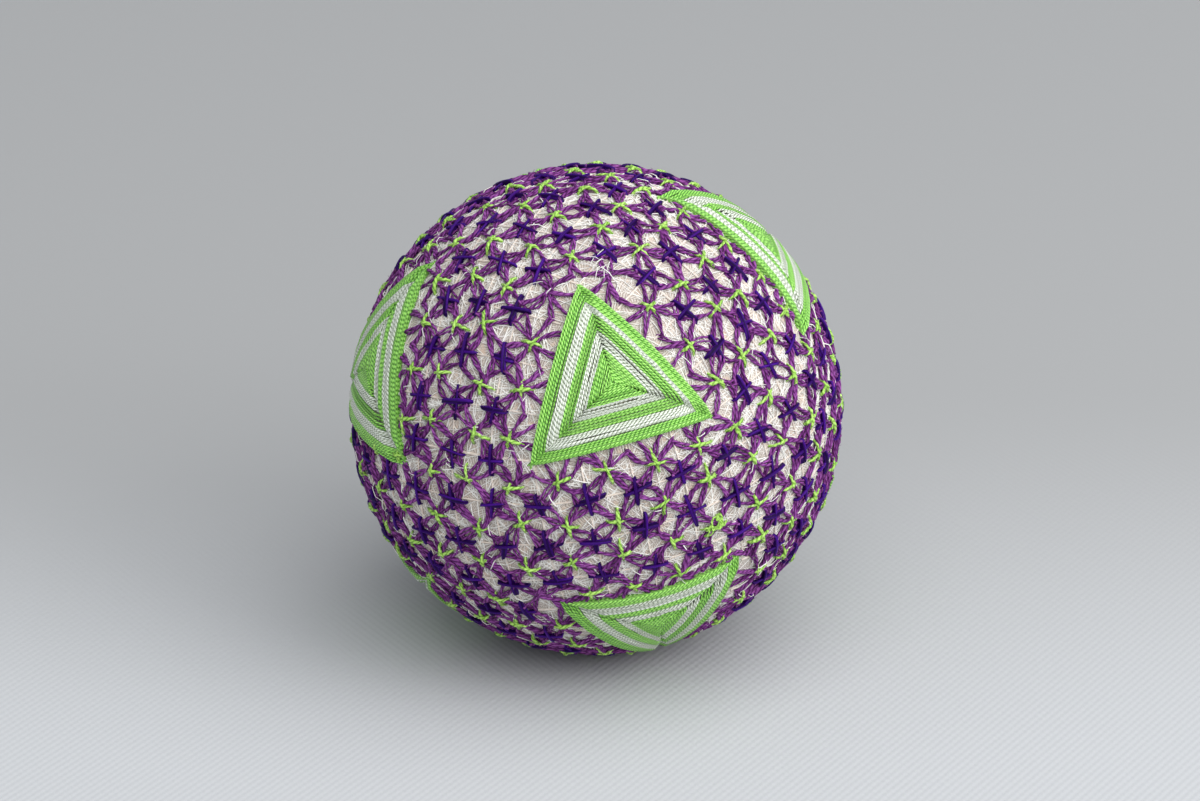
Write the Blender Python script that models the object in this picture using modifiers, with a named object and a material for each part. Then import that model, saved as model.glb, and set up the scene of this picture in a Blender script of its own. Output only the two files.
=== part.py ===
"""Stitched thread ball: a round wound ball with eight triangles of laid thread.

Metres, +Z up, with the front towards -Y. The origin is the middle of the flat spot on which
the ball rests. Three stitched bands run round the ball like the edges of a cube's faces, and
the triangles fill the eight corners that the bands leave between them.
"""

from math import radians, sqrt, tan

import bmesh
import bpy
from mathutils import Matrix, Vector, noise

MM = 0.001

# Driving sizes, in metres, and angles, in radians.
BALL_DIAMETER = 0.0944              # across the winding
UNEVENNESS = 0.00018                # how far the winding swells or dips from a true sphere
SWELLS_ACROSS = 2.4                 # how closely those swells follow each other
REST_SPOT_RADIUS = 0.0075           # the flat spot that the ball's weight has pressed
BAND_HALF_WIDTH = radians(21.5)     # half of a stitched band, seen from the ball's middle
TRIANGLE_THICKNESS = 0.0010         # the laid thread of a triangle, two rounds deep
TRIANGLE_EDGE_ROUNDING = 0.00035
TRIANGLE_GAP = 0.0004               # air under a triangle, past the facets' own dip

# Where the maker's hand strayed: how much a triangle outgrew its ideal outline, how many degrees
# it turned on the spot, and how many millimetres it slid along the cube's three directions.
USUAL_PLACING = (1.02, 0, (0, 0, 0))
HAND_PLACING = {
    "upper_triangle_1": (1.09, 0, (0.5, -1.5, 0.5)),
    "upper_triangle_3": (1.16, 8, (-0.5, -4.5, -4)),
    "upper_triangle_4": (0.98, 0, (0, -0.5, -0.5)),
    "lower_triangle_4": (1.00, 0, (0.5, -2, 2)),
}

# How the bands are turned: spun about the upright, then leaned over.
SPIN = radians(-34.2)
LEAN = radians(12.9)
LEAN_TOWARDS = radians(-147.4)      # counted from +X

# Fineness of the facets.
BALL_SUBDIVISIONS = 5
TRIANGLE_CUTS = 11

# Colours, as linear red, green and blue, with how rough each thread looks.
BALL_FINISH = ((0.80, 0.76, 0.71), 0.85)
TRIANGLE_FINISH = ((0.33, 0.66, 0.12), 0.55)

BALL_RADIUS = BALL_DIAMETER / 2
MIDDLE_HEIGHT = sqrt(BALL_RADIUS ** 2 - REST_SPOT_RADIUS ** 2)
TIP_REACH = 1 / tan(BAND_HALF_WIDTH)


def clear_scene():
    """Remove every object, so that the model starts from nothing."""
    for thing in list(bpy.data.objects):
        bpy.data.objects.remove(thing)


def new_collection(name):
    """Add a collection to the scene and return it."""
    collection = bpy.data.collections.new(name)
    bpy.context.scene.collection.children.link(collection)
    return collection


def thread_material(name, finish):
    """A matt thread material from its colour and roughness."""
    colour, roughness = finish
    material = bpy.data.materials.new(name)
    material.use_nodes = True
    shader = material.node_tree.nodes["Principled BSDF"]
    shader.inputs["Base Color"].default_value = (*colour, 1.0)
    shader.inputs["Roughness"].default_value = roughness
    shader.inputs["Metallic"].default_value = 0.0
    return material


def wound_radius(direction):
    """The winding's radius towards a unit direction: nearly round, as wound by hand."""
    return BALL_RADIUS + UNEVENNESS * noise.noise(direction * SWELLS_ACROSS)


def add_object(name, bm, collection, parent=None, material=None):
    """Turn a bmesh into an object in a collection, shaded smooth."""
    mesh = bpy.data.meshes.new(name)
    bm.to_mesh(mesh)
    bm.free()
    mesh.shade_smooth()
    thing = bpy.data.objects.new(name, mesh)
    collection.objects.link(thing)
    thing.parent = parent
    if material:
        mesh.materials.append(material)
    return thing


def make_middle(collection):
    """The ball's middle, turned as the bands are turned. The pieces are placed by it."""
    middle = bpy.data.objects.new("middle", None)
    collection.objects.link(middle)
    lean_axis = Matrix.Rotation(LEAN_TOWARDS, 3, "Z") @ Vector((0, 1, 0))
    turn = Matrix.Rotation(LEAN, 3, lean_axis) @ Matrix.Rotation(SPIN, 3, "Z")
    middle.rotation_euler = turn.to_euler()
    middle.location = (0, 0, MIDDLE_HEIGHT)
    return middle


def make_floor_cutter(collection):
    """The block whose top presses the ball's flat spot at the height of the floor."""
    side = 8 * REST_SPOT_RADIUS
    bm = bmesh.new()
    bmesh.ops.create_cube(bm, size=side)
    bmesh.ops.translate(bm, verts=bm.verts, vec=(0, 0, -side / 2))
    cutter = add_object("floor_cutter", bm, collection)
    cutter.hide_render = True
    cutter.display_type = "WIRE"
    return cutter


def make_ball(collection, middle, cutter, material):
    """The wound ball: a sphere with the winding's swells and one flat spot."""
    bm = bmesh.new()
    bmesh.ops.create_icosphere(bm, subdivisions=BALL_SUBDIVISIONS, radius=BALL_RADIUS)
    for vertex in bm.verts:
        direction = vertex.co.normalized()
        vertex.co = direction * wound_radius(direction)
    ball = add_object("wound_ball", bm, collection, middle, material)
    flat_spot = ball.modifiers.new("flat_spot", "BOOLEAN")
    flat_spot.operation = "DIFFERENCE"
    flat_spot.solver = "EXACT"
    flat_spot.object = cutter
    return ball


def make_triangle(name, corner, collection, middle, material):
    """A triangle of laid thread over one corner, curved like the ball under it."""
    bm = bmesh.new()
    centre = Vector(corner).normalized()
    growth, degrees, slide = HAND_PLACING.get(name, USUAL_PLACING)
    turn = Matrix.Rotation(radians(degrees), 3, centre)
    shift = Vector(slide) * MM / BALL_RADIUS
    tips = []
    for axis in range(3):
        tip = Vector(corner)
        tip[axis] *= TIP_REACH
        tip /= tip.dot(centre)
        tips.append(bm.verts.new(centre + turn @ (tip - centre) * growth + shift))
    face = bm.faces.new(tips)
    face.normal_update()
    if face.normal.dot(centre) < 0:
        face.normal_flip()
    bmesh.ops.subdivide_edges(bm, edges=bm.edges[:], cuts=TRIANGLE_CUTS, use_grid_fill=True)
    for vertex in bm.verts:
        direction = vertex.co.normalized()
        vertex.co = direction * (wound_radius(direction) + TRIANGLE_GAP)
    triangle = add_object(name, bm, collection, middle, material)

    laid_thread = triangle.modifiers.new("laid_thread", "SOLIDIFY")
    laid_thread.thickness = TRIANGLE_THICKNESS
    laid_thread.offset = 1.0
    soft_edge = triangle.modifiers.new("soft_edge", "BEVEL")
    soft_edge.width = TRIANGLE_EDGE_ROUNDING
    soft_edge.segments = 1
    soft_edge.limit_method = "ANGLE"
    soft_edge.angle_limit = radians(50)
    return triangle


def main():
    clear_scene()
    parts = new_collection("temari_ball")
    cutters = new_collection("cutters")
    winding = thread_material("winding_thread", BALL_FINISH)
    laid = thread_material("triangle_thread", TRIANGLE_FINISH)
    middle = make_middle(parts)
    make_ball(parts, middle, make_floor_cutter(cutters), winding)

    quarters = ((1, 1), (-1, 1), (-1, -1), (1, -1))
    for level, up in (("upper", 1), ("lower", -1)):
        for number, (x, y) in enumerate(quarters, start=1):
            make_triangle(f"{level}_triangle_{number}", (x, y, up), parts, middle, laid)


main()
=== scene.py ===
# %% [markdown]
# # A stitched thread ball, in Blender
# This ball is made the way a maker of temari makes one. A light core is wound with wool and then
# with fine white sewing thread until it is round. Pale guide threads mark it out like a cube.
# Eight triangles of lime and white thread are laid over the cube's corners. Three bands of purple
# lattice run between them, held down by violet and lime crosses.
#
# Blender could fake most of this with a picture on a sphere. Here every thread that can be told
# apart is a real tube instead, so the ball still looks stitched from close by and from the side.

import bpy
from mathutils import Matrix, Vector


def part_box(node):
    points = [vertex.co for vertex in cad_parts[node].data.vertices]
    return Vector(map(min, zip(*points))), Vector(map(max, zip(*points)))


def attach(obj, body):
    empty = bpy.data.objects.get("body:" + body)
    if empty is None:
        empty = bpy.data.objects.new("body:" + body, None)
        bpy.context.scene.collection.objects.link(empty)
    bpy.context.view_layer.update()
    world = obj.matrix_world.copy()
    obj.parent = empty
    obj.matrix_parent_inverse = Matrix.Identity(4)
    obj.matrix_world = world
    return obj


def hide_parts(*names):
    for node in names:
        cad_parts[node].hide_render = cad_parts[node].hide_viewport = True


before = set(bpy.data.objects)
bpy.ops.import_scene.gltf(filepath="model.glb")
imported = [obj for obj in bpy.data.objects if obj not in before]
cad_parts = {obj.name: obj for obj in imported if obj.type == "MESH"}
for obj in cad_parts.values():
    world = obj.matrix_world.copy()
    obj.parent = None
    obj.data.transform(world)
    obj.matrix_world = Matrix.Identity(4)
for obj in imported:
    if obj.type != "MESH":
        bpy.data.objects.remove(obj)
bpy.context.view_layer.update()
print("measured pieces:", sorted(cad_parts))

# %% Tools for the lesson
import random
from math import cos, exp, pi, radians, sin, tan

import bmesh
import bpy
from mathutils import Matrix, Vector

MM = 0.001

# %% [markdown]
# ## Finding the pattern on the ball
# The measured model has the wound ball and its eight triangles as plain solids. The middle and
# radius come from the ball's box. The whole pattern follows the three directions of a cube, which
# is spun about the upright and then leaned over, as the measured model was. Each triangle's own
# three tips are found on its measured solid, since a maker never gets all eight alike.

# %% Middle, radius and the cube's directions
low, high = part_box("wound_ball")
CAD_RADIUS = (high.x - low.x + high.y - low.y) / 4
MIDDLE = Vector(((low.x + high.x) / 2, (low.y + high.y) / 2, high.z - CAD_RADIUS))

SPIN = radians(-34.2)
LEAN = radians(12.9)
LEAN_TOWARDS = radians(-147.4)
lean_axis = Matrix.Rotation(LEAN_TOWARDS, 3, "Z") @ Vector((0, 1, 0))
CUBE = Matrix.Rotation(LEAN, 3, lean_axis) @ Matrix.Rotation(SPIN, 3, "Z")


def tips_of(node_name, corner):
    """Directions of a measured triangle's tips. Each tip leans towards one of the cube's axes.

    The solid's tips are rounded, and a laid thread runs on to the sharp corner.
    """
    directions = [(vertex.co - MIDDLE).normalized()
                  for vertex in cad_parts[node_name].data.vertices]
    tips = []
    for axis in range(3):
        way = CUBE.col[axis] * corner[axis]
        tips.append(max(directions, key=way.dot))
    centre = sum(tips, Vector()) / 3
    return [(centre + (tip - centre) * 1.03).normalized() for tip in tips]


BAND_HALF = radians(22)
print("middle", MIDDLE, "radius", CAD_RADIUS)

# %% [markdown]
# ## Sizes of the threads
# Real threads set the scale. The lattice is a soft cotton of two plies that can be told apart, the
# crosses are shorter single threads, and the triangles use lime and white ones packed side by side.

# %% Thread sizes
WINDING_RADIUS = CAD_RADIUS - 0.25 * MM
CELL = CAD_RADIUS * pi / 16

PLY_WIDTH = 0.65 * MM
PLY_HEIGHT = 0.54 * MM
VIOLET_WIDTH = 1.10 * MM
VIOLET_HEIGHT = 0.95 * MM
LIME_WIDTH = 0.92 * MM
LIME_HEIGHT = 0.66 * MM
LAID_PITCH = 0.46 * MM
GUIDE_WIDTH = 0.55 * MM
GUIDE_HEIGHT = 0.35 * MM
GUIDE_LIFT = 0.10 * MM
WRAP_WIDTH = 0.24 * MM
HAIR_WIDTH = 0.20 * MM
FUZZ_WIDTH = 0.10 * MM

# %% [markdown]
# ## Camera
# The camera looks along +Y and down onto the ball, from about ten ball widths away, so it is a
# long lens.

# %% Camera
LOOK_DOWN = radians(24)
CAMERA_DISTANCE = 0.95
LENS = 146.0
AIM_UP = 1.65 * MM
AIM_RIGHT = 0.7 * MM

camera_data = bpy.data.cameras.new("camera")
camera_data.lens = LENS
camera_data.sensor_width = 36
camera = bpy.data.objects.new("camera", camera_data)
bpy.context.scene.collection.objects.link(camera)
back = Vector((0, -cos(LOOK_DOWN), sin(LOOK_DOWN)))
picture_up = Vector((0, sin(LOOK_DOWN), cos(LOOK_DOWN)))
aim = MIDDLE + picture_up * AIM_UP + Vector((1, 0, 0)) * AIM_RIGHT
camera.location = aim + back * CAMERA_DISTANCE
camera.rotation_euler = (-back).to_track_quat("-Z", "Y").to_euler()
bpy.context.scene.camera = camera
print("camera at", camera.location)

# %% [markdown]
# ## A helper for node trees
# Both the geometry and the materials below are built from nodes. This helper adds a node, sets
# its options, and either links each input or gives it a value. It keeps the trees readable.

# %% Node helper


def node(tree, kind, inputs=None, **options):
    """Add a node. Each input, by name or number, takes a value or another node's output."""
    made = tree.nodes.new(kind)
    for option, value in options.items():
        setattr(made, option, value)
    for key, value in (inputs or {}).items():
        if isinstance(value, bpy.types.NodeSocket):
            tree.links.new(value, made.inputs[key])
        else:
            made.inputs[key].default_value = value
    return made


def calc(tree, operation, first, second=0.0, third=0.0):
    """One sum on numbers, and its output."""
    return node(tree, "ShaderNodeMath", {0: first, 1: second, 2: third},
                operation=operation).outputs[0]


def vector_calc(tree, operation, first, second=(0, 0, 0)):
    """One sum on vectors, and its vector output."""
    return node(tree, "ShaderNodeVectorMath", {0: first, 1: second}, operation=operation).outputs[0]


# %% [markdown]
# ## How a thread is laid
# A thread is a route over the ball with a cross-section swept along it. Curve to Mesh does the
# sweeping. The routes are drawn as plain wires, because a wire carries numbers at each point: how
# thick the thread is, how far it has turned, and its own small change of colour. Set Curve Normal
# keeps every section's back to the ball, which a beveled curve object can't do. The section is a
# circle, flattened, with a waist when the two plies of a soft thread should show.

# %% Geometry nodes that sweep a thread


def thread_tree(name, width, height, sides, waist=1.0):
    """Nodes that turn wires into threads of this width and height."""
    tree = bpy.data.node_groups.new(name, "GeometryNodeTree")
    for direction in ("INPUT", "OUTPUT"):
        tree.interface.new_socket("Geometry", in_out=direction, socket_type="NodeSocketGeometry")
    wires = node(tree, "NodeGroupInput").outputs[0]

    along_wire = node(tree, "GeometryNodeSplineParameter")
    curves = node(tree, "GeometryNodeMeshToCurve", {0: wires}).outputs[0]
    keep_length = node(tree, "GeometryNodeCaptureAttribute", {0: curves})
    keep_length.capture_items.new("FLOAT", "length")
    tree.links.new(along_wire.outputs["Length"], keep_length.inputs["length"])

    place = node(tree, "GeometryNodeInputPosition").outputs[0]
    outwards = vector_calc(tree, "NORMALIZE", vector_calc(tree, "SUBTRACT", place, MIDDLE))
    upright = node(tree, "GeometryNodeSetCurveNormal",
                   {0: keep_length.outputs[0], "Normal": outwards}, mode="FREE").outputs[0]
    turn = node(tree, "GeometryNodeInputNamedAttribute", {"Name": "turn"}).outputs[0]
    turned = node(tree, "GeometryNodeSetCurveTilt", {0: upright, "Tilt": turn}).outputs[0]

    circle = node(tree, "GeometryNodeCurvePrimitiveCircle",
                  {"Resolution": sides, "Radius": 1.0}).outputs[0]
    keep_around = node(tree, "GeometryNodeCaptureAttribute", {0: circle})
    keep_around.capture_items.new("FLOAT", "around")
    tree.links.new(along_wire.outputs["Factor"], keep_around.inputs["around"])
    across = node(tree, "ShaderNodeSeparateXYZ", {0: place})
    lobes = calc(tree, "MULTIPLY_ADD", calc(tree, "POWER", across.outputs[0], 2.0),
                 1.4 * (1 - waist), waist)
    section_place = node(tree, "ShaderNodeCombineXYZ", {
        0: calc(tree, "MULTIPLY", across.outputs[0], width / 2),
        1: calc(tree, "MULTIPLY", calc(tree, "MULTIPLY", across.outputs[1], height / 2), lobes)})
    section = node(tree, "GeometryNodeSetPosition",
                   {0: keep_around.outputs[0], "Position": section_place.outputs[0]}).outputs[0]

    thick = node(tree, "GeometryNodeInputNamedAttribute", {"Name": "thick"}).outputs[0]
    swept = node(tree, "GeometryNodeCurveToMesh",
                 {0: turned, 1: section, "Scale": thick, "Fill Caps": True}).outputs[0]
    length_mm = calc(tree, "MULTIPLY", keep_length.outputs["length"], 1 / MM)
    flat = node(tree, "ShaderNodeCombineXYZ", {0: length_mm, 1: keep_around.outputs["around"]})
    mapped = node(tree, "GeometryNodeStoreNamedAttribute",
                  {0: swept, "Name": "UVMap", "Value": flat.outputs[0]},
                  data_type="FLOAT2", domain="CORNER").outputs[0]
    smooth = node(tree, "GeometryNodeSetShadeSmooth", {0: mapped}).outputs[0]
    node(tree, "NodeGroupOutput", {0: smooth})
    return tree


# %% Laying a set of threads

FLOOR_SOFTNESS = 0.45 * MM


def press_on_floor(mesh):
    """Squash what would sink into the table, as the ball's own weight does."""
    for vertex in mesh.vertices:
        if vertex.co.z < FLOOR_SOFTNESS:
            vertex.co.z = FLOOR_SOFTNESS * exp(vertex.co.z / FLOOR_SOFTNESS - 1)


def finish_piece(piece, slot, *stands_for):
    """Fasten a piece to the ball, and hide the measured pieces that it stands for."""
    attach(piece, "root")
    if stands_for:
        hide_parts(*stands_for)
    print(piece.name, len(piece.data.polygons), "faces")


def lay_threads(name, strands, tree, material, slot, stands_for=()):
    """Draw the strands' wires, sweep them, and keep the result as one plain mesh piece."""
    wires = bmesh.new()
    thick = wires.verts.layers.float.new("thick")
    turn = wires.verts.layers.float.new("turn")
    tint = wires.verts.layers.float.new("tint")
    for strand in strands:
        last = None
        for place, size, angle in zip(strand["route"], strand["thick"], strand["turn"]):
            vertex = wires.verts.new(place)
            vertex[thick] = size
            vertex[turn] = angle
            vertex[tint] = strand["tint"]
            if last:
                wires.edges.new((last, vertex))
            last = vertex
    wire_mesh = bpy.data.meshes.new(name + "_wires")
    wires.to_mesh(wire_mesh)
    wires.free()

    wire_object = bpy.data.objects.new(name + "_wires", wire_mesh)
    bpy.context.scene.collection.objects.link(wire_object)
    wire_object.modifiers.new("sweep", "NODES").node_group = tree
    seen = wire_object.evaluated_get(bpy.context.evaluated_depsgraph_get())
    mesh = bpy.data.meshes.new_from_object(seen)
    bpy.data.objects.remove(wire_object)
    mesh.name = name
    mesh.materials.clear()
    mesh.materials.append(material)
    press_on_floor(mesh)
    piece = bpy.data.objects.new(name, mesh)
    bpy.context.scene.collection.objects.link(piece)
    finish_piece(piece, slot, *stands_for)
    return piece


def strand(directions, heights, rng, turns=0.0, thick=1.0, taper=0.0, start=None):
    """A thread over the ball: unit directions, each with its height above the winding."""
    count = len(directions)
    start = rng.uniform(0, pi) if start is None else start
    route = [MIDDLE + direction.normalized() * (WINDING_RADIUS + height)
             for direction, height in zip(directions, heights)]
    ends = [1 - taper if index in (0, count - 1) else 1.0 for index in range(count)]
    return {"route": route,
            "thick": [thick * end for end in ends],
            "turn": [start + 2 * pi * turns * index / (count - 1) for index in range(count)],
            "tint": rng.random()}


# %% [markdown]
# ## Where the stitches go
# Each band has 32 lime crosses along it and four across it. Where two bands cross they share
# theirs. A band is a ring round one of the cube's directions, so one loop gives all three, and a
# dictionary keyed by rounded direction joins the shared ones. Real stitches are never quite in
# line, so each one is pushed a little off its place, always by the same seeded amount.

# %% Grid of stitches
rng = random.Random(11)
SPOTS = (-0.75, -0.25, 0.25, 0.75)
QUARTER = pi / 2
NUDGE = 0.055 * CELL / WINDING_RADIUS


def columns_of_quarter(quarter):
    """The angles of eight columns: four in a square field, then four in the field after it."""
    start = quarter * QUARTER
    square = [start + spot * BAND_HALF for spot in SPOTS]
    between = [start + QUARTER / 2 + spot * (QUARTER / 2 - BAND_HALF) for spot in SPOTS]
    return square + between


COLUMNS = [angle for quarter in range(4) for angle in columns_of_quarter(quarter)]


def band_direction(axis, angle, lateral):
    """A unit direction in a band: round the given cube axis, and off its middle line."""
    off_square = abs((angle + QUARTER / 2) % QUARTER - QUARTER / 2)
    reach = 1 / cos(min(off_square, BAND_HALF))
    place = Vector((0, 0, 0))
    place[(axis + 1) % 3] = cos(angle) * reach
    place[(axis + 2) % 3] = sin(angle) * reach
    place[axis] = tan(lateral)
    return place.normalized()


def key_of(direction):
    """The same key for the same place, whichever band it was reached by."""
    return tuple(round(part, 3) + 0.0 for part in direction)


stitches = {}
lenses = {}
cells = {}
half_lenses = []


def add_stitch(axis, column, row):
    """Note a lime stitch, and return its key."""
    direction = band_direction(axis, COLUMNS[column % 32], SPOTS[row] * BAND_HALF)
    key = key_of(direction)
    if key not in stitches:
        nudge = Vector((rng.gauss(0, 1), rng.gauss(0, 1), rng.gauss(0, 1))) * NUDGE
        stitches[key] = (CUBE @ direction + nudge).normalized()
    return key


def add_lens(first, second, cell):
    """Note that a lens of two zigzag threads joins two stitches, and one cell beside it."""
    lenses.setdefault(frozenset((first, second)), set()).add(cell)


for axis in range(3):
    for column in range(32):
        for row in range(3):
            ring = [add_stitch(axis, column, row), add_stitch(axis, column + 1, row),
                    add_stitch(axis, column + 1, row + 1), add_stitch(axis, column, row + 1)]
            cell = frozenset(ring)
            cells[cell] = ring
            for index in range(4):
                add_lens(ring[index], ring[(index + 1) % 4], cell)

print(len(stitches), "stitches", len(lenses), "lenses", len(cells), "cells")

# %% Half lenses along the triangles
QUARTERS = ((1, 1), (-1, 1), (-1, -1), (1, -1))
CORNERS = {f"{level}_triangle_{number}": (east, north, up)
           for level, up in (("upper", 1), ("lower", -1))
           for number, (east, north) in enumerate(QUARTERS, start=1)}
TIPS = {measured: tips_of(measured, corner) for measured, corner in CORNERS.items()}


def covered(direction):
    """Whether a direction lies under one of the triangles."""
    for tips in TIPS.values():
        handed = tips[0].cross(tips[1]).dot(tips[2])
        sides = [tips[index].cross(tips[(index + 1) % 3]) for index in range(3)]
        if all(side.dot(direction) * handed > 0 for side in sides):
            return True
    return False


def triangle_edge(start, towards):
    """Where the way from a stitch towards a triangle meets that triangle's nearest side."""
    tips = max(TIPS.values(), key=lambda tips: sum(tips, Vector()).dot(towards))
    sides = [tips[index].cross(tips[(index + 1) % 3]).normalized() for index in range(3)]
    side = min(sides, key=lambda normal: abs(normal.dot(towards)))
    way = towards - start
    return (start - way * (start.dot(side) / way.dot(side))).normalized()


for axis in range(3):
    for column in range(32):
        if column % 8 < 4:
            continue
        for row, beyond in ((0, -1.0), (3, 1.0)):
            towards = CUBE @ band_direction(axis, COLUMNS[column], beyond * BAND_HALF)
            key = add_stitch(axis, column, row)
            half_lenses.append((key, triangle_edge(stitches[key], towards)))
print(len(half_lenses), "half lenses run under the triangles")

# %% [markdown]
# ## Thread finishes
# All the threads are cotton, so one material function serves them. Twist shows as slanting
# grooves: the bump and a painted shade in the grooves follow the thread's own UV map, whose first
# number is the length in millimetres and whose second goes once round. The colour runs from that
# painted groove shade, through the thread's own colour, to a painted highlight on the crowns of the
# plies, with fibre streaks over it. Each strand is a touch lighter or darker than the next, from its
# tint. Sheen gives the soft bright rim of spun fibres.

# %% Thread material


def shader_of(name):
    """A new material with a Principled shader, and its node tree and shader."""
    material = bpy.data.materials.new(name)
    material.use_nodes = True
    tree = material.node_tree
    return material, tree, tree.nodes["Principled BSDF"]


def thread_material(name, shade_and_dark_fibres, plain, highlight_and_pale_fibres, lay, depth=0.06 * MM, rough=0.5, sheen=0.1,
                    groove_shade=0.45, crease=0.75, shine=0.35):
    """Spun cotton of two plies. lay is the length of one turn of its twist, in millimetres."""
    material, tree, shader = shader_of(name)
    where = node(tree, "ShaderNodeSeparateXYZ",
                 {0: node(tree, "ShaderNodeUVMap", uv_map="UVMap").outputs[0]})
    turns = calc(tree, "ADD", calc(tree, "DIVIDE", where.outputs[0], lay), where.outputs[1])
    ply = calc(tree, "ABSOLUTE", calc(tree, "COSINE", calc(tree, "MULTIPLY", turns, 2 * pi)))
    ply = calc(tree, "POWER", ply, crease)

    place = node(tree, "ShaderNodeTexCoord").outputs["Object"]
    fibre_place = node(tree, "ShaderNodeCombineXYZ", {
        0: calc(tree, "MULTIPLY", where.outputs[0], 1.3),
        1: calc(tree, "MULTIPLY", turns, 7.0)})
    fibres = node(tree, "ShaderNodeTexNoise", {"Vector": fibre_place.outputs[0], "Scale": 2.2,
                                               "Detail": 3.0, "Roughness": 0.6})
    patches = node(tree, "ShaderNodeTexNoise", {"Vector": place, "Scale": 420.0, "Detail": 2.0})
    tint = node(tree, "ShaderNodeAttribute", attribute_name="tint").outputs["Fac"]

    # Painted shade: the grooves between the plies are darkened in colour, over the real bump. The
    # fibre streaks, the strand's tint and the patches are the thread's own changes of tone.
    light = calc(tree, "MULTIPLY_ADD", ply, groove_shade, 0.52 - groove_shade)
    light = calc(tree, "MULTIPLY_ADD", fibres.outputs[0], 0.42, light)
    light = calc(tree, "MULTIPLY_ADD", tint, 0.16, light)
    light = calc(tree, "MULTIPLY_ADD", patches.outputs[0], 0.16, calc(tree, "SUBTRACT", light, 0.08))
    # The ramp's darkest colour is painted shade in the grooves together with dark fibres, its middle
    # is the thread's own colour, and its brightest is a painted highlight on the crowns of the plies
    # together with pale fibres.
    ramp = node(tree, "ShaderNodeValToRGB", {0: light})
    ramp.color_ramp.elements[0].position = 0.18
    ramp.color_ramp.elements[0].color = (*shade_and_dark_fibres, 1)
    ramp.color_ramp.elements[1].position = 0.95
    ramp.color_ramp.elements[1].color = (*highlight_and_pale_fibres, 1)
    ramp.color_ramp.elements.new(0.6).color = (*plain, 1)
    tree.links.new(ramp.outputs[0], shader.inputs["Base Color"])

    relief = calc(tree, "MULTIPLY_ADD", fibres.outputs[0], 0.45, ply)
    bump = node(tree, "ShaderNodeBump", {"Height": relief, "Distance": depth, "Strength": 0.9})
    tree.links.new(bump.outputs[0], shader.inputs["Normal"])
    shader.inputs["Roughness"].default_value = rough
    shader.inputs["Sheen Weight"].default_value = sheen
    shader.inputs["Sheen Roughness"].default_value = 0.5
    shader.inputs["Specular IOR Level"].default_value = shine
    return material


NO_TWIST = 1e6
# Each thread's three colours are: painted groove shade with dark fibres, its own colour, and painted
# highlight with pale fibres.
LATTICE = thread_material("purple_thread", (0.016, 0.001, 0.022), (0.106, 0.012, 0.124),
                          (0.39, 0.11, 0.43), lay=2.6, depth=0.05 * MM, rough=0.65, sheen=0.03,
                          groove_shade=0.50, crease=0.6, shine=0.12)
VIOLET = thread_material("violet_thread", (0.003, 0.000, 0.010), (0.017, 0.0004, 0.065),
                         (0.075, 0.008, 0.28), lay=NO_TWIST, rough=0.42, sheen=0.0, groove_shade=0.55,
                         crease=0.5, shine=0.08)
LIME = thread_material("lime_thread", (0.022, 0.13, 0.004), (0.225, 0.62, 0.062),
                       (0.52, 0.96, 0.22), lay=1.75, depth=0.13 * MM, rough=0.34, groove_shade=0.74,
                       shine=0.55)
LIME_CROSS = thread_material("lime_cross_thread", (0.05, 0.16, 0.006), (0.32, 0.62, 0.075),
                             (0.60, 0.90, 0.24), lay=1.75, rough=0.45, groove_shade=0.60)
WHITE = thread_material("white_thread", (0.11, 0.15, 0.06), (0.68, 0.75, 0.60),
                        (0.98, 1.00, 0.95), lay=1.75, depth=0.13 * MM, rough=0.34, groove_shade=0.74,
                        shine=0.55)
GUIDE = thread_material("peach_guide_thread", (0.55, 0.42, 0.32), (0.86, 0.74, 0.64),
                        (0.93, 0.86, 0.79), lay=3.0, rough=0.7)
WRAPS = thread_material("winding_thread", (0.70, 0.66, 0.61), (0.95, 0.93, 0.88),
                        (0.99, 0.98, 0.95), lay=4.0, depth=0.02 * MM, rough=0.8, sheen=0.2)
print("thread finishes:", [finish.name for finish in (LATTICE, VIOLET, LIME, LIME_CROSS, WHITE,
                                                      GUIDE, WRAPS)])

# %% [markdown]
# ## The wound ball
# Under the stitches lies a ball wound at random with white sewing thread. The body is a sphere,
# squashed a little where it meets the floor. Its finish draws fine windings by patches: each patch
# of a Voronoi pattern takes its own direction, and waves across that direction are the threads.
# Three such layers lie over each other.

# %% Winding finish


def winding_layer(tree, place, size, spacing, seed):
    """Fine parallel threads in patches of random direction: 0 in a gap, 1 on a thread."""
    wobble = node(tree, "ShaderNodeTexNoise", {"Vector": place, "Scale": 0.35, "Detail": 2.0})
    push = node(tree, "ShaderNodeVectorMath", {0: wobble.outputs[1], "Scale": size * 1.2},
                operation="SCALE").outputs[0]
    patches = node(tree, "ShaderNodeTexVoronoi", {
        "Vector": vector_calc(tree, "ADD", place, push), "W": seed, "Scale": 1 / size},
        voronoi_dimensions="4D")
    chance = vector_calc(tree, "SUBTRACT", patches.outputs["Color"], (0.5, 0.5, 0.5))
    way = vector_calc(tree, "NORMALIZE", vector_calc(
        tree, "CROSS_PRODUCT", chance, patches.outputs["Position"]))
    across = node(tree, "ShaderNodeVectorMath", {0: place, 1: way},
                  operation="DOT_PRODUCT").outputs["Value"]
    ripple = node(tree, "ShaderNodeTexNoise", {"Vector": place, "Scale": 0.8, "Detail": 1.0})
    across = calc(tree, "MULTIPLY_ADD", ripple.outputs[0], 0.5, across)
    wave = calc(tree, "SINE", calc(tree, "MULTIPLY", across, 2 * pi / spacing))
    return calc(tree, "MULTIPLY_ADD", wave, 0.5, 0.5)


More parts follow.
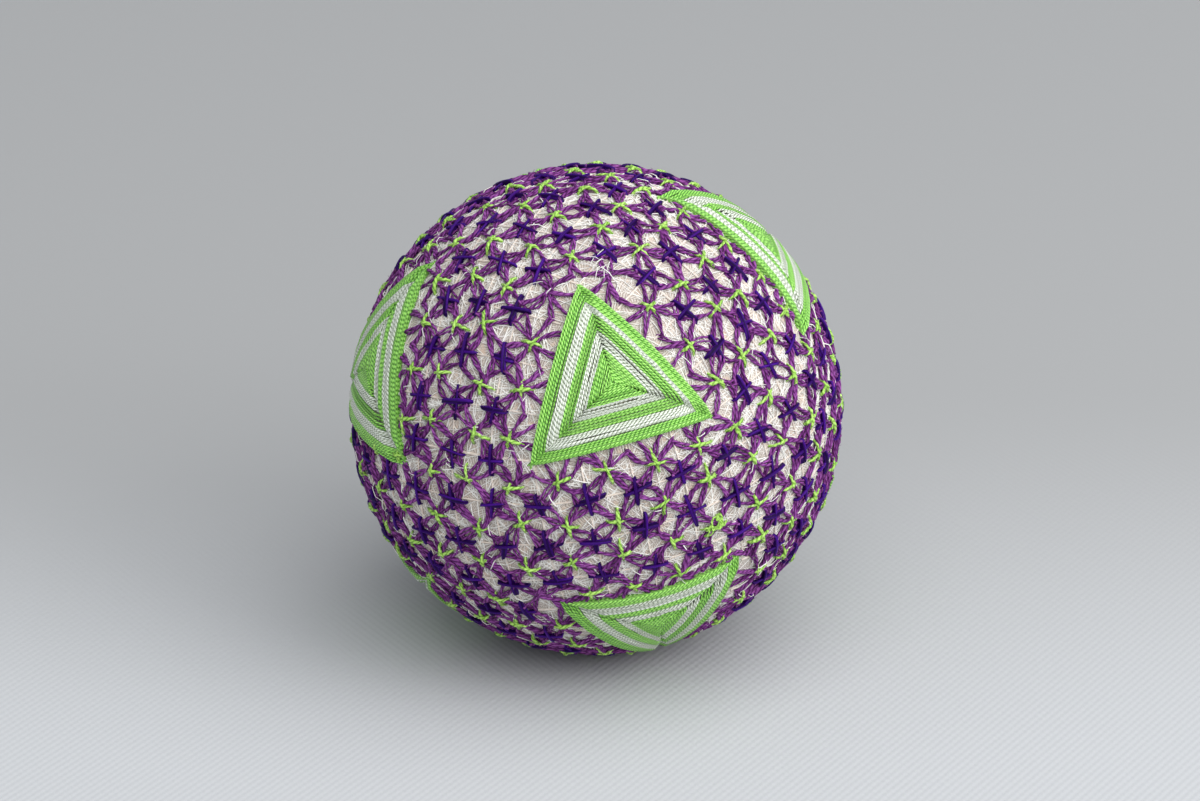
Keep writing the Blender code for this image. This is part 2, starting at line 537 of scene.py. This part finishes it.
def winding_material():
    """White sewing thread wound at random, with peach wool showing in places."""
    material, tree, shader = shader_of("white_winding")
    place = vector_calc(tree, "SUBTRACT", node(tree, "ShaderNodeTexCoord").outputs["Object"],
                        MIDDLE)
    place = vector_calc(tree, "MULTIPLY", place, (1 / MM, 1 / MM, 1 / MM))
    top = winding_layer(tree, place, 3.2, 0.46, 3.0)
    for size, spacing, seed in ((2.3, 0.38, 17.0), (4.5, 0.52, 31.0)):
        layer = winding_layer(tree, place, size, spacing, seed)
        cover = node(tree, "ShaderNodeTexNoise", {
            "Vector": vector_calc(tree, "ADD", place, (seed, 0, 0)), "Scale": 0.45})
        over = node(tree, "ShaderNodeMapRange", {0: cover.outputs[0], 1: 0.49, 2: 0.53})
        top = node(tree, "ShaderNodeMix", {"Factor": over.outputs[0], 2: top, 3: layer},
                   data_type="FLOAT").outputs[0]
    # Painted shade: the gaps between the wound threads are painted dark brown-grey, and the wound
    # threads themselves a grey darker than the loose white threads over them, as shade under those.
    ramp = node(tree, "ShaderNodeValToRGB", {0: top})
    ramp.color_ramp.elements[0].position = 0.05
    ramp.color_ramp.elements[0].color = (0.36, 0.29, 0.24, 1)
    ramp.color_ramp.elements[1].position = 0.50
    ramp.color_ramp.elements[1].color = (0.66, 0.60, 0.54, 1)
    wool = node(tree, "ShaderNodeTexNoise", {"Vector": place, "Scale": 0.55, "Detail": 3.0})
    shows = node(tree, "ShaderNodeMapRange", {0: wool.outputs[0], 1: 0.55, 2: 0.75})
    peach = node(tree, "ShaderNodeMix", {"Factor": shows.outputs[0], "A": ramp.outputs[0],
                                         "B": (0.72, 0.56, 0.44, 1)}, data_type="RGBA")
    tree.links.new(peach.outputs["Result"], shader.inputs["Base Color"])
    bump = node(tree, "ShaderNodeBump", {"Height": top, "Distance": 0.12 * MM, "Strength": 0.8})
    tree.links.new(bump.outputs[0], shader.inputs["Normal"])
    shader.inputs["Roughness"].default_value = 0.85
    shader.inputs["Sheen Weight"].default_value = 0.3
    shader.inputs["Specular IOR Level"].default_value = 0.25
    return material


WINDING = winding_material()

# %% The ball itself
ball_bm = bmesh.new()
bmesh.ops.create_icosphere(ball_bm, subdivisions=6, radius=WINDING_RADIUS)
bmesh.ops.translate(ball_bm, verts=ball_bm.verts, vec=MIDDLE)
ball_mesh = bpy.data.meshes.new("winding")
ball_bm.to_mesh(ball_mesh)
ball_bm.free()
ball_mesh.shade_smooth()
ball_mesh.materials.append(WINDING)
press_on_floor(ball_mesh)
winding = bpy.data.objects.new("winding", ball_mesh)
bpy.context.scene.collection.objects.link(winding)
finish_piece(winding, "winding_thread", "wound_ball")

# %% [markdown]
# ## Top turns of the winding
# The last turns lie proud of the ball and catch the light between the stitches. Each is a ring
# round a random direction that wanders a little, as a hand-wound thread does.

# %% Loose top turns


def random_direction():
    """A unit direction, as likely one way as another."""
    return Vector((rng.gauss(0, 1), rng.gauss(0, 1), rng.gauss(0, 1))).normalized()


def nudged(direction, size):
    """A direction pushed off its place, by about this share of a cell."""
    push = Vector((rng.gauss(0, 1), rng.gauss(0, 1), rng.gauss(0, 1)))
    return (direction + push * size * CELL / WINDING_RADIUS).normalized()


def wrap(points=72):
    """One turn of sewing thread round the ball."""
    pole = random_direction()
    first = pole.orthogonal().normalized()
    second = pole.cross(first)
    off = rng.gauss(0, 0.12)
    waves = [(rng.randint(2, 7), rng.uniform(0, 2 * pi), rng.gauss(0, 0.012)) for _ in range(3)]
    directions = []
    for index in range(points + 1):
        angle = 2 * pi * index / points
        aside = off + sum(size * sin(count * angle + phase) for count, phase, size in waves)
        directions.append(first * cos(angle) + second * sin(angle) + pole * aside)
    heights = [rng.uniform(-0.02, 0.10) * MM] * len(directions)
    return strand(directions, heights, rng, thick=rng.uniform(0.7, 1.2))


TOP_TURNS = 150
wrap_tree = thread_tree("fine_turn", WRAP_WIDTH, WRAP_WIDTH, sides=3)
lay_threads("top_turns", [wrap() for _ in range(TOP_TURNS)], wrap_tree, WRAPS, "winding_thread")

# %% [markdown]
# ## Fine hairs of the winding
# Stitching pulls the fine thread about, so short lengths show in every direction. Some long ones
# cross the ball anywhere. Most are short, and fan out from the stitches that pulled them. One tuft
# has come loose beside a triangle.

# %% Short lengths of fine thread


def short_length(start, reach, lift, points=4):
    """A short piece of fine thread from one direction, almost straight."""
    way = start.cross(random_direction()).normalized()
    bend = start.cross(way) * rng.gauss(0, 0.10)
    directions = [start + (way + bend * part * reach / MM / 10) * part * reach / WINDING_RADIUS
                  for part in (index / points for index in range(points + 1))]
    heights = [(lift + 0.12 * sin(pi * index / points)) * MM for index in range(points + 1)]
    heights[0] = heights[-1] = -0.1 * MM
    return strand(directions, heights, rng, thick=rng.uniform(0.6, 1.3))


LONG_HAIRS = 1300
HAIRS_PER_STITCH = 22
LOW_SHARE = 0.95
TUFT = Vector((0.02, -0.52, 0.86))
TUFT_HAIRS = 16

hairs = [short_length(random_direction(), rng.uniform(8, 22) * MM, rng.uniform(0, 0.25))
         for _ in range(LONG_HAIRS)]
for place in stitches.values():
    for _ in range(HAIRS_PER_STITCH):
        low = rng.random() < LOW_SHARE
        lift = rng.uniform(0.05, 0.35) if low else rng.uniform(0.6, 1.0)
        hairs.append(short_length(nudged(place, 0.16), rng.uniform(2.5, 5.5) * MM, lift, 3))
hairs += [short_length(nudged(TUFT, 0.15), rng.uniform(2, 5) * MM, rng.uniform(0.6, 1.3), 3)
          for _ in range(TUFT_HAIRS)]
hair_tree = thread_tree("hair", HAIR_WIDTH, HAIR_WIDTH, sides=3)
lay_threads("fine_lengths", hairs, hair_tree, WRAPS, "winding_thread")

# %% [markdown]
# ## Guide threads
# A maker divides the ball with guide threads before stitching. They run through the middle of
# every row of cells, and show as pale peach lines where they cross the open lenses.

# %% Guide threads


def band_ring(axis, lateral, points=160):
    """Directions all the way round a band at one distance from its middle line."""
    return [CUBE @ band_direction(axis, 2 * pi * index / points, lateral)
            for index in range(points + 1)]


def band_crossing(axis, angle, points=12):
    """Directions straight across a band, from triangle to triangle."""
    return [CUBE @ band_direction(axis, angle, BAND_HALF * (2 * index / points - 1))
            for index in range(points + 1)]


def guide(directions):
    """A guide thread, all at one low height."""
    return strand(directions, [GUIDE_LIFT] * len(directions), rng)


guides = []
for axis in range(3):
    for lateral in (-0.5, 0.0, 0.5):
        guides.append(guide(band_ring(axis, lateral * BAND_HALF)))
    for column in range(32):
        if column % 8 >= 3:
            last = column == 31     # its next column is the first, a whole turn back
            angle = 2 * pi - BAND_HALF if last else (COLUMNS[column] + COLUMNS[column + 1]) / 2
            guides.append(guide(band_crossing(axis, angle)))
guide_tree = thread_tree("guide", GUIDE_WIDTH, GUIDE_HEIGHT, sides=4)
lay_threads("guide_threads", guides, guide_tree, GUIDE, "winding_thread")

# %% [markdown]
# ## The purple lattice
# Each lens between two lime stitches is two zigzag threads. A zigzag goes from a stitch out to a
# point beside the middle of the lens, takes a small bite of the ball there, and goes on to the
# next stitch, so each leg is a thread of its own that crosses its neighbour at the bite. Each
# thread is made as its two plies, twisted loosely round each other. A low stitch shows between
# neighbouring bites, and what runs under a triangle is pressed flat by it.

# %% Legs of the lattice


def mixed(first, second, part):
    """The unit direction part of the way from one to another."""
    return first.lerp(second, part).normalized()


LEG_STEPS = (-0.05, 0.04, 0.22, 0.42, 0.62, 0.82, 0.98, 1.10)


def two_plies(directions, heights, turns, thick):
    """Two soft strands that twist round each other along one route."""
    start = rng.gauss(0, 0.5)
    tint = rng.random()
    plies = []
    for side in (1, -1):
        apart = rng.uniform(0.44, 0.66) * side
        bent = []
        raised = []
        for index, (direction, height) in enumerate(zip(directions, heights)):
            angle = start + 2 * pi * turns * index / (len(directions) - 1)
            ahead = directions[min(index + 1, len(directions) - 1)] - directions[max(index - 1, 0)]
            aside = ahead.cross(direction).normalized() * PLY_WIDTH / WINDING_RADIUS
            bent.append(direction + aside * (apart * cos(angle) + rng.gauss(0, 0.07)))
            level = height + PLY_HEIGHT * apart * 0.8 * sin(angle) + rng.gauss(0, 0.02) * MM
            raised.append(min(level, 0) if covered(direction) else level)
        ply = strand(bent, raised, rng, turns=0.5, thick=thick * rng.gauss(1, 0.07), taper=0.2)
        ply["thick"] = [size * rng.gauss(1, 0.08) for size in ply["thick"]]
        ply["tint"] = tint
        plies.append(ply)
    return plies


def leg(start, end, over):
    """One leg from a stitch to a bite. over lifts it where it crosses the other leg."""
    bow = start.cross(end).normalized() * rng.gauss(0, 0.045) * CELL / WINDING_RADIUS
    directions = []
    for part in LEG_STEPS:
        inner = min(max(part, 0), 1)
        directions.append((start * (1 - part) + end * part).normalized()
                          + bow * 4 * inner * (1 - inner))
    heights = [-0.25, 0.52, 0.54, 0.46, 0.42, 0.42 + over / 2, 0.40 + over, -0.20]
    heights = [height * MM + rng.gauss(0, 0.04) * MM for height in heights]
    turns = rng.choice((-0.5, 0.35, 0.5, 0.75, 1.0))
    return two_plies(directions, heights, turns, rng.gauss(1.0, 0.10))


bites = {}


def lens_side(first, second, beside, name):
    """The two legs on one side of a lens. beside is the direction that side bulges to."""
    middle = mixed(first, second, 0.5)
    bite = nudged(mixed(middle, beside, rng.gauss(0.60, 0.05)), 0.03)
    bites[name] = bite
    turn = rng.random() < 0.5
    return (leg(nudged(first, 0.03), bite, 0.25 if turn else 0.0)
            + leg(nudged(second, 0.03), nudged(bite, 0.02), 0.0 if turn else 0.25))


def cell_middle(ring):
    """The direction of a cell's middle, from its four stitches."""
    return sum((stitches[key] for key in ring), Vector()).normalized()


legs = []
for pair, beside_cells in lenses.items():
    first, second = (stitches[key] for key in sorted(pair))
    middle = mixed(first, second, 0.5)
    sides = [(cell_middle(cells[cell]), cell) for cell in sorted(beside_cells, key=sorted)]
    if len(sides) == 1:
        sides.append(((middle * 2 - sides[0][0]).normalized(), None))
    for side, cell in sides:
        legs += lens_side(first, second, side, (cell, pair))
for key, edge in half_lenses:
    first = stitches[key]
    along = first.cross(edge).normalized() * 0.24 * CELL / WINDING_RADIUS
    for aside in (along, -along):
        legs += leg(nudged(first, 0.03), nudged(edge + aside, 0.03), 0.0)


def bite_run(start, end):
    """The low stitch that shows where the needle passed from one bite to the next."""
    directions = [start * (1 - part) + end * part for part in (-0.1, 0.1, 0.5, 0.9, 1.1)]
    heights = [height * MM for height in (-0.2, 0.12, 0.2, 0.12, -0.2)]
    return two_plies(directions, heights, rng.choice((-0.25, 0.25)), rng.gauss(0.95, 0.08))


for cell, ring in cells.items():
    around = [bites[cell, frozenset((ring[index], ring[(index + 1) % 4]))] for index in range(4)]
    for index in range(4):
        legs += bite_run(around[index], around[(index + 1) % 4])

lattice_tree = thread_tree("ply", PLY_WIDTH, PLY_HEIGHT, sides=5)
share = len(legs) // 3 + 1
for number in range(3):
    lay_threads(f"purple_lattice_{number + 1}", legs[number * share:(number + 1) * share],
                lattice_tree, LATTICE, "lattice_thread")

# %% [markdown]
# ## Lint on the lattice
# Soft cotton sheds fibres. Each is a short fine tube that leaves its leg at a slant and lifts off
# the ball, so the lattice has a soft edge in the light.

# %% Lint


def lint(route):
    """A fibre that leaves a thread somewhere along its route."""
    spot = rng.uniform(1.2, len(route) - 2.2)
    place = route[int(spot)].lerp(route[int(spot) + 1], spot % 1)
    height = (place - MIDDLE).length - WINDING_RADIUS
    root = (place - MIDDLE).normalized()
    way = root.cross(random_direction()).normalized() * rng.uniform(0.5, 1.5) * MM
    curl = root.cross(way) * rng.gauss(0, 0.4)
    lift = rng.uniform(0.1, 0.7) * MM
    directions = [root + (way * part + curl * part ** 2) / WINDING_RADIUS for part in (0, 0.5, 1)]
    heights = [height, height + lift * 0.7, height + lift]
    return strand(directions, heights, rng, thick=rng.uniform(0.7, 1.3), taper=0.4)


fibres = [lint(ply["route"]) for ply in legs for _ in range(rng.choice((0, 1, 1)))]
fuzz_tree = thread_tree("fuzz", FUZZ_WIDTH, FUZZ_WIDTH, sides=3)
lay_threads("purple_lint", fibres, fuzz_tree, LATTICE, "lattice_thread")

# %% [markdown]
# ## Violet and lime crosses
# A violet cross in each cell holds down the four bites around it. A lime cross over each stitch
# pins the eight legs that meet there, though the maker left out a few beside the triangles' tips.
# Both are two short arched threads, one over the other, whose ends dive into the winding. One lime
# thread ends in a tangle, where its tail was never trimmed.

# %% Crosses
BAR_STEPS = (-1.0, -0.93, -0.6, -0.2, 0.2, 0.6, 0.93, 1.0)


def bar(middle, way, reach, lift, low_end, turns, shift=0.0, start=None):
    """A short thread through the middle, along a way, reaching the same on both sides."""
    heights = [(low_end + (lift - low_end) * (1 - abs(step) ** 3)) * MM for step in BAR_STEPS]
    heights[0] = heights[-1] = -0.3 * MM
    directions = [middle + way * reach * (step + shift) for step in BAR_STEPS]
    return strand(directions, heights, rng, turns=turns, thick=rng.gauss(1.0, 0.08), taper=0.12,
                  start=start)


def violet_cross(ring):
    """Two bars through a cell, each towards the middles of two opposite sides."""
    corners = [stitches[key] for key in ring]
    middle = nudged(cell_middle(ring), 0.03)
    bars = []
    order = [0, 1]
    rng.shuffle(order)
    for level, side in zip((0.62, 0.88), order):
        ahead = mixed(corners[side], corners[side + 1], 0.5)
        behind = mixed(corners[(side + 2) % 4], corners[(side + 3) % 4], 0.5)
        way = nudged((ahead - behind).normalized(), 0.6)
        reach = (ahead - behind).length / 2 * rng.gauss(0.66, 0.07)
        bars.append(bar(middle, way, reach, level, 0.55, rng.choice((-0.25, 0.0, 0.25)),
                        rng.gauss(0, 0.06), rng.gauss(0, 0.25)))
    return bars


ALL_TIPS = [tip for tips in TIPS.values() for tip in tips]


def from_tip(direction):
    """How far a direction is from the nearest triangle tip, in cells."""
    return min(direction.angle(tip) for tip in ALL_TIPS) * WINDING_RADIUS / CELL


violets = []
for ring in cells.values():
    if from_tip(cell_middle(ring)) > 0.5:
        violets += violet_cross(ring)
violet_tree = thread_tree("violet_bar", VIOLET_WIDTH, VIOLET_HEIGHT, sides=8, waist=0.55)
lay_threads("violet_crosses", violets, violet_tree, VIOLET, "cross_thread")

# %% Lime crosses
BESIDE_TIP = 0.75
LEFT_OUT_SHARE = 0.2

neighbours = {}
for first, second in (sorted(pair) for pair in lenses):
    neighbours.setdefault(first, []).append(stitches[second])
    neighbours.setdefault(second, []).append(stitches[first])
limes = []
left_out = random.Random(5)
bare = []
for key, place in stitches.items():
    if from_tip(place) < BESIDE_TIP and left_out.random() < LEFT_OUT_SHARE:
        bare.append(key)
        continue
    toward = neighbours[key][0] - place
    toward = (toward - place * toward.dot(place)).normalized()
    ways = [toward, place.cross(toward)]
    rng.shuffle(ways)
    for level, way in zip((0.90, 1.12), ways):
        reach = CELL / WINDING_RADIUS * rng.uniform(0.16, 0.28)
        limes.append(bar(nudged(place, 0.02), nudged(way, 0.8), reach, level, 0.25,
                         rng.choice((1.0, 1.5)), rng.gauss(0, 0.18)))
print(len(bare), "stitches beside the tips have no lime cross")


def loose_end(middle, towards, points=48, length=4.4):
    """A crinkled tail of lime thread that wanders back and forth over the stitches."""
    ahead = (towards - middle * towards.dot(middle)).normalized()
    aside = middle.cross(ahead)
    directions = []
    heights = []
    for index in range(points):
        part = index / (points - 1)
        far = length * (part - 0.5) + 0.9 * sin(10 * pi * part)
        off = 1.0 * sin(6.8 * pi * part + 1) + 0.35 * sin(17 * pi * part)
        directions.append(middle + (ahead * far + aside * off) * MM / WINDING_RADIUS)
        heights.append((1.05 + 0.40 * sin(8.6 * pi * part)) * MM)
    heights[0] = heights[-1] = 0
    return strand(directions, heights, rng, turns=4, thick=0.62, taper=0.2)


TANGLE = Vector((0.46, -0.88, -0.11))
limes.append(loose_end(TANGLE, Vector((1, 0, 0.7))))
lime_tree = thread_tree("lime_bar", LIME_WIDTH, LIME_HEIGHT, sides=6)
lay_threads("lime_crosses", limes, lime_tree, LIME_CROSS, "triangle_thread")

# %% [markdown]
# ## The laid triangles
# A triangle is worked from a thread laid round and round. Each side of each round is a taut
# thread, so it follows the shortest way over the ball, and it passes its tip a little before it
# dives. Rounds change from lime to white and back. The side that is laid later lies over the
# earlier one at the tips, which gives the mitred corners.

# %% Laid triangles
BANDS = ((LIME, 5), (WHITE, 5), (LIME, 4), (WHITE, 4), (LIME, 8))
SIDE_STEPS = 10
LAID_LIFT = 0.95
UNDER_LIFTS = (0.1, 0.4, 0.7)

# The three sides of a usual triangle together, in radians. A bigger one has fuller threads.
USUAL_SPREAD = 2.3

# How loosely each band of rounds is packed, for the sides facing tips 1, 2 and 3, and how far
# each of those sides is from the middle. One triangle strays as listed, and the others by chance.
STRAYING = {"upper_triangle_4": (
    ((1.1, 0.85, 1.05, 1.0, 0.95), (1.05, 0.35, 1.35, 1.1, 1.0), (0.95, 0.95, 1.2, 1.0, 1.0)),
    (0.352, 0.300, 0.348))}


def straying_of(measured):
    """The packing of each band on each side, and the middle's shares of the three tips."""
    if measured in STRAYING:
        return STRAYING[measured]
    packing = [[rng.uniform(0.8, 1.25) for _ in BANDS] for _ in range(3)]
    shares = [rng.uniform(0.315, 0.35) for _ in range(3)]
    return packing, [share / sum(shares) for share in shares]


def round_depths(packing):
    """How far in each round lies: 0 at the triangle's edge and 1 at its middle."""
    pitches = [loose for (_, count), loose in zip(BANDS, packing) for _ in range(count)]
    depths = [sum(pitches[:number]) + pitch * 0.35 for number, pitch in enumerate(pitches)]
    return [depth / sum(pitches) for depth in depths]


def triangle_side(first, second, overshoot, loose, fullness, lift=LAID_LIFT):
    """One laid thread from tip to tip, a little beyond both. It starts low and ends high."""
    extra = overshoot / WINDING_RADIUS / first.angle(second)
    aside = first.cross(second).normalized() * loose * MM / WINDING_RADIUS
    sway = rng.gauss(0, 1)
    directions = []
    heights = []
    for index in range(SIDE_STEPS + 1):
        along = index / SIDE_STEPS
        part = -extra + (1 + 2 * extra) * along
        bend = aside * (sway * sin(pi * along) + rng.gauss(0, 0.5))
        directions.append(first * (1 - part) + second * part + bend)
        heights.append((lift + 0.24 * along + rng.gauss(0, 0.02 + loose / 3)) * MM)
    heights[0] = heights[-1] = -0.1 * MM
    return strand(directions, heights, rng, thick=fullness * rng.gauss(1.0, 0.05))


def triangle_rounds(measured):
    """The sides of every round of one triangle, by colour."""
    tips = TIPS[measured]
    spread = sum(tips[index].angle(tips[(index + 1) % 3]) for index in range(3))
    fullness = spread / USUAL_SPREAD
    packing, shares = straying_of(measured)
    depths = [round_depths(side_packing) for side_packing in packing]
    by_colour = {LIME.name: [], WHITE.name: []}
    colours = [colour for colour, count in BANDS for _ in range(count)]
    for number, colour in enumerate(colours):
        weight = [share * depth[number] for share, depth in zip(shares, depths)]
        corners = []
        for tip in range(3):
            kept = 1 - sum(weight) + weight[tip]
            corners.append(tips[tip] * kept
                           + tips[(tip + 1) % 3] * weight[(tip + 1) % 3]
                           + tips[(tip + 2) % 3] * weight[(tip + 2) % 3])
        loose = 0.09 if colour is WHITE else 0.03
        corners = [corner.normalized() for corner in corners]
        for side in range(3):
            first, second = corners[side], corners[(side + 1) % 3]
            overshoot = (0.32 + 0.25 * rng.random() + (0.5 if number < 2 else 0)) * MM
            by_colour[colour.name].append(triangle_side(
                first, second, overshoot, loose, fullness))
            if number == 0:
                for lift in UNDER_LIFTS:
                    by_colour[colour.name].append(triangle_side(
                        first, second, 0, loose, fullness, lift))
    return by_colour


laid_tree = thread_tree("laid_thread", LAID_PITCH * 1.22, LAID_PITCH * 0.90, sides=6)
for measured in TIPS:
    sides = triangle_rounds(measured)
    lay_threads(f"{measured}_lime", sides[LIME.name], laid_tree, LIME, "triangle_thread",
                [measured])
    lay_threads(f"{measured}_white", sides[WHITE.name], laid_tree, WHITE, "triangle_thread")

# %% [markdown]
# ## Floor and light
# A plain pale floor and soft studio light show the threads. The key light is large and stands
# high on the right, so the shading turns softly towards the lower left.

# %% Floor
FLOOR_SIZE = 12.0
floor_bm = bmesh.new()
bmesh.ops.create_grid(floor_bm, x_segments=1, y_segments=1, size=FLOOR_SIZE / 2)
floor_mesh = bpy.data.meshes.new("floor")
floor_bm.to_mesh(floor_mesh)
floor_bm.free()
floor_material, tree, floor_shader = shader_of("pale_cloth")
place = node(tree, "ShaderNodeTexCoord").outputs["Object"]
where = node(tree, "ShaderNodeSeparateXYZ", {0: place})
nearness = node(tree, "ShaderNodeMapRange", {0: where.outputs[1], 1: 0.12, 2: -0.07},
                interpolation_type="SMOOTHSTEP")
cloth = node(tree, "ShaderNodeMix", {"Factor": nearness.outputs[0], "A": (0.365, 0.367, 0.37, 1),
                                     "B": (0.52, 0.53, 0.545, 1)}, data_type="RGBA")
tree.links.new(cloth.outputs["Result"], floor_shader.inputs["Base Color"])
CLOTH_THREADS = 1.7 * MM
across = calc(tree, "SINE", calc(tree, "MULTIPLY", where.outputs[0], 2 * pi / CLOTH_THREADS))
along = calc(tree, "SINE", calc(tree, "MULTIPLY", where.outputs[1], 1.3 * pi / CLOTH_THREADS))
weave = calc(tree, "MULTIPLY", across, along)
cloth_bump = node(tree, "ShaderNodeBump", {
    "Height": calc(tree, "MULTIPLY", weave, nearness.outputs[0]), "Distance": 0.2 * MM,
    "Strength": 0.22})
tree.links.new(cloth_bump.outputs[0], floor_shader.inputs["Normal"])
floor_shader.inputs["Roughness"].default_value = 0.9
floor_mesh.materials.append(floor_material)
floor_object = bpy.data.objects.new("floor", floor_mesh)
bpy.context.scene.collection.objects.link(floor_object)

# %% Lights
bpy.context.scene.view_settings.view_transform = "Standard"


def area_light(name, place, size, power, colour=(1, 1, 1)):
    """A square soft light that faces the ball."""
    data = bpy.data.lights.new(name, "AREA")
    data.size = size
    data.energy = power
    data.color = colour
    light = bpy.data.objects.new(name, data)
    bpy.context.scene.collection.objects.link(light)
    light.location = place
    light.rotation_euler = (MIDDLE - light.location).to_track_quat("-Z", "Y").to_euler()
    return light


area_light("key", Vector((0.65, -0.75, 1.50)), 3.0, 52)
area_light("side", Vector((1.20, -0.70, 0.90)), 0.9, 7)
world = bpy.data.worlds.new("studio")
bpy.context.scene.world = world
world.use_nodes = True
world.node_tree.nodes["Background"].inputs[0].default_value = (0.9, 0.95, 1.0, 1)
world.node_tree.nodes["Background"].inputs[1].default_value = 0.46
